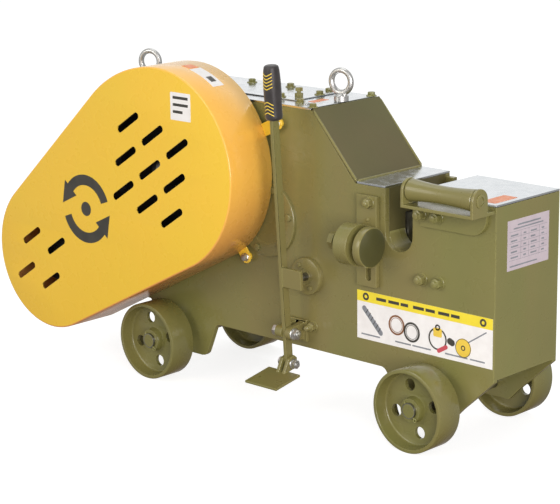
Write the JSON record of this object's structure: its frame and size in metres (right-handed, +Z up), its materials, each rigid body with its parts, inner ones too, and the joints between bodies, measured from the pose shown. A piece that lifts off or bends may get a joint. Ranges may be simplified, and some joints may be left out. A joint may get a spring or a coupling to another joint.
{
  "type": "rebar cutter",
  "caption": "Wheeled motor-driven reinforcing-bar cutter: sloped steel housing, side belt guard, clutch lever with pedal, open cutting slot, feed roller and bar stop.",
  "frame": {"origin": "middle of the machine's bounding box, on the floor", "axes": "+X along the machine towards the end with the cutting table, -Y towards the side with the belt guard and the lever, +Z up"},
  "size_m": [1.2479, 0.428, 0.692],
  "materials": {
    "olive_paint": "gloss enamel",
    "olive_cast": "painted casting",
    "galvanised_sheet": "bright zinc-coated sheet",
    "yellow_paint": "gloss enamel",
    "zinc_plate": "zinc plated",
    "cast_iron": "as cast",
    "tool_steel": "ground",
    "machined_steel": "machined",
    "belt_rubber": "moulded",
    "motor_paint": "grey enamel",
    "grip_rubber": "soft moulded grip"
  },
  "bodies": {
    "frame": {"front_side_plate": "olive_paint", "rear_side_plate": "olive_paint", "right_end_plate": "olive_paint", "left_end_plate": "olive_paint", "bottom_plate": "olive_paint", "slope_plate": "olive_paint", "crank_cover_front": "olive_paint", "crank_cover_rear": "olive_paint", "clutch_flange": "olive_paint", "lever_bracket": "olive_paint", "stop_bracket": "olive_paint", "roller_bracket": "olive_paint", "slot_wall": "olive_paint", "blade_seat": "olive_paint", "top_cover": "galvanised_sheet", "table_cover_left": "galvanised_sheet", "table_cover_right": "galvanised_sheet", "hatch_cover": "galvanised_sheet", "belt_guard": "yellow_paint", "eye_bolt_left": "zinc_plate", "eye_bolt_right": "zinc_plate", "lever_pivot_bolt": "zinc_plate", "breather_plug": "zinc_plate", "input_bearing_housing": "cast_iron", "fixed_blade": "tool_steel", "ram_guide_bottom": "machined_steel", "ram_guide_top": "machined_steel", "axle_left": "machined_steel", "axle_right": "machined_steel", "roller_pin": "machined_steel", "drive_belt_1": "belt_rubber", "drive_belt_2": "belt_rubber", "motor_housing": "motor_paint", "motor_fan_cover": "motor_paint", "terminal_box": "motor_paint"},
    "wheel_front_left": {"wheel_front_left": "olive_cast"},
    "wheel_front_right": {"wheel_front_right": "olive_cast"},
    "wheel_rear_left": {"wheel_rear_left": "olive_cast"},
    "wheel_rear_right": {"wheel_rear_right": "olive_cast"},
    "bull_wheel": {"bull_gear": "machined_steel"},
    "crank": {"crankshaft": "machined_steel"},
    "clutch_sleeve": {"dog_sleeve": "machined_steel"},
    "connecting_rod": {"connecting_rod": "cast_iron", "wrist_pin": "machined_steel"},
    "middle_shaft": {"intermediate_shaft": "machined_steel", "intermediate_gear": "machined_steel"},
    "input_shaft": {"input_shaft": "machined_steel", "flywheel_pulley": "cast_iron"},
    "rotor": {"motor_shaft": "machined_steel", "motor_pulley": "cast_iron"},
    "ram": {"ram": "machined_steel", "moving_blade": "tool_steel"},
    "lever": {"lever_bar": "olive_paint", "lever_grip": "grip_rubber", "lever_pedal": "olive_paint"},
    "clutch_rod": {"clutch_rod": "machined_steel", "clutch_fork": "machined_steel"},
    "feed_roller": {"feed_roller": "olive_paint"},
    "stop_pad": {"stop_pad": "olive_paint"},
    "stop_screw": {"stop_screw": "machined_steel"}
  },
  "joints": [
    {"name": "wheel_front_left_spin", "type": "hinge", "parent": "frame", "child": "wheel_front_left", "pos_m": [-0.217, -0.138, 0.08], "axis": [0, 1, 0], "continuous": true},
    {"name": "wheel_rear_left_spin", "type": "hinge", "parent": "frame", "child": "wheel_rear_left", "pos_m": [-0.217, 0.151, 0.08], "axis": [0, 1, 0], "continuous": true},
    {"name": "wheel_front_right_spin", "type": "hinge", "parent": "frame", "child": "wheel_front_right", "pos_m": [0.483, -0.138, 0.08], "axis": [0, 1, 0], "continuous": true},
    {"name": "wheel_rear_right_spin", "type": "hinge", "parent": "frame", "child": "wheel_rear_right", "pos_m": [0.483, 0.151, 0.08], "axis": [0, 1, 0], "continuous": true},
    {"name": "bull_gear_spin", "type": "hinge", "parent": "frame", "child": "bull_wheel", "pos_m": [0.062, -0.058, 0.37], "axis": [0, 1, 0], "continuous": true},
    {"name": "crank_spin", "type": "hinge", "parent": "frame", "child": "crank", "pos_m": [0.062, 0.0065, 0.37], "axis": [0, 1, 0], "continuous": true},
    {"name": "connecting_rod_swing", "type": "hinge", "parent": "crank", "child": "connecting_rod", "pos_m": [0.04, 0.0065, 0.37], "axis": [0, 1, 0], "continuous": true},
    {"name": "clutch_sleeve_slide", "type": "slide", "parent": "crank", "child": "clutch_sleeve", "axis": [0, -1, 0], "range_m": [0, 0.0098]},
    {"name": "middle_shaft_spin", "type": "hinge", "parent": "frame", "child": "middle_shaft", "pos_m": [-0.09608, 0.0065, 0.33237], "axis": [0, 1, 0], "continuous": true},
    {"name": "input_shaft_spin", "type": "hinge", "parent": "frame", "child": "input_shaft", "pos_m": [-0.121, -0.0465, 0.462], "axis": [0, 1, 0], "continuous": true},
    {"name": "rotor_spin", "type": "hinge", "parent": "frame", "child": "rotor", "pos_m": [-0.464, -0.011, 0.236], "axis": [0, 1, 0], "continuous": true},
    {"name": "ram_slide", "type": "slide", "parent": "frame", "child": "ram", "axis": [1, 0, 0], "range_m": [0, 0.044]},
    {"name": "lever_swing", "type": "hinge", "parent": "frame", "child": "lever", "pos_m": [0.147, -0.128, 0.16], "axis": [1, 0, 0], "range_deg": [0, 5], "stiffness_Nm_per_rad": 15, "springref_deg": -11.46},
    {"name": "clutch_rod_slide", "type": "slide", "parent": "frame", "child": "clutch_rod", "axis": [0, -1, 0], "range_m": [0, 0.0098]},
    {"name": "feed_roller_spin", "type": "hinge", "parent": "frame", "child": "feed_roller", "pos_m": [0.5415, -0.136, 0.491], "axis": [1, 0, 0], "continuous": true},
    {"name": "stop_slide", "type": "slide", "parent": "frame", "child": "stop_pad", "axis": [1, 0, 0], "range_m": [-0.002, 0.022]},
    {"name": "stop_screw_turn", "type": "hinge", "parent": "stop_pad", "child": "stop_screw", "pos_m": [0.3135, -0.135, 0.367], "axis": [1, 0, 0], "range_deg": [-240.5, 2640.5]}
  ],
  "couplings": [
    {"joint": "crank_spin", "follows": "bull_gear_spin", "ratio": 1},
    {"joint": "connecting_rod_swing", "follows": "bull_gear_spin", "ratio": -1},
    {"joint": "middle_shaft_spin", "follows": "bull_gear_spin", "ratio": -4},
    {"joint": "input_shaft_spin", "follows": "bull_gear_spin", "ratio": 14.857},
    {"joint": "rotor_spin", "follows": "bull_gear_spin", "ratio": 45.633},
    {"joint": "clutch_rod_slide", "follows": "lever_swing", "m_per_rad": 0.112},
    {"joint": "clutch_sleeve_slide", "follows": "lever_swing", "m_per_rad": 0.112},
    {"joint": "stop_screw_turn", "follows": "stop_slide", "rad_per_m": 2094.4}
  ]
}
